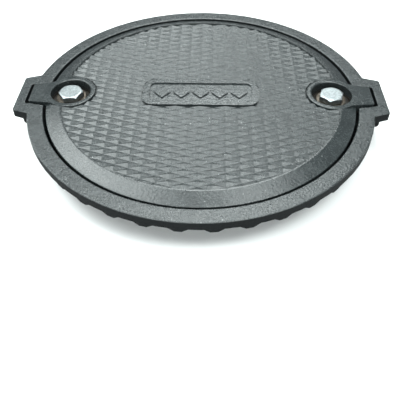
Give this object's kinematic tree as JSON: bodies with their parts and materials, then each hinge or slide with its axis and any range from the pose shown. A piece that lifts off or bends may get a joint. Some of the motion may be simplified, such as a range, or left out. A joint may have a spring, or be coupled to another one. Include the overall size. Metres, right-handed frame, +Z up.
{
  "type": "manhole cover",
  "caption": "Round bolt-down manhole cover with raised diamond tread in a flanged cast-iron frame with two pocketed ears.",
  "frame": {"origin": "centre of the frame's foot, on the surface that it stands on", "axes": "+Z up out of the cover's tread, X through both ears and bolts"},
  "size_m": [0.402, 0.3748, 0.0464],
  "materials": {
    "cast_iron_black": "sand-cast iron with a thin satin black dip coat",
    "bolt_steel": "bright zinc-plated steel",
    "bush_steel": "turned stainless steel",
    "gasket_rubber": "matt black moulded rubber"
  },
  "bodies": {
    "frame": {"frame_ring": "cast_iron_black", "cover_gasket": "gasket_rubber", "left_threaded_bush": "bush_steel", "right_threaded_bush": "bush_steel"},
    "cover": {"cover": "cast_iron_black", "left_seal_washer": "gasket_rubber", "right_seal_washer": "gasket_rubber"},
    "left_washer": {"left_washer": "bolt_steel"},
    "right_washer": {"right_washer": "bolt_steel"},
    "left_bolt": {"left_bolt": "bolt_steel"},
    "right_bolt": {"right_bolt": "bolt_steel"}
  },
  "joints": [
    {"name": "cover_lift", "type": "slide", "parent": "frame", "child": "cover", "axis": [0, 0, 1], "range_m": [0, 0.1]},
    {"name": "left_bolt_rise", "type": "slide", "parent": "cover", "child": "left_washer", "axis": [0, 0, 1], "range_m": [0, 0.016]},
    {"name": "left_bolt_turn", "type": "hinge", "parent": "left_washer", "child": "left_bolt", "pos_m": [-0.1432, 0, 0.0455], "axis": [0, 0, 1], "range_deg": [0, 2880]},
    {"name": "right_bolt_rise", "type": "slide", "parent": "cover", "child": "right_washer", "axis": [0, 0, 1], "range_m": [0, 0.016]},
    {"name": "right_bolt_turn", "type": "hinge", "parent": "right_washer", "child": "right_bolt", "pos_m": [0.1432, 0, 0.0455], "axis": [0, 0, 1], "range_deg": [0, 2880]}
  ],
  "couplings": [
    {"joint": "left_bolt_turn", "follows": "left_bolt_rise", "rad_per_m": 3141.6},
    {"joint": "right_bolt_turn", "follows": "right_bolt_rise", "rad_per_m": 3141.6}
  ]
}
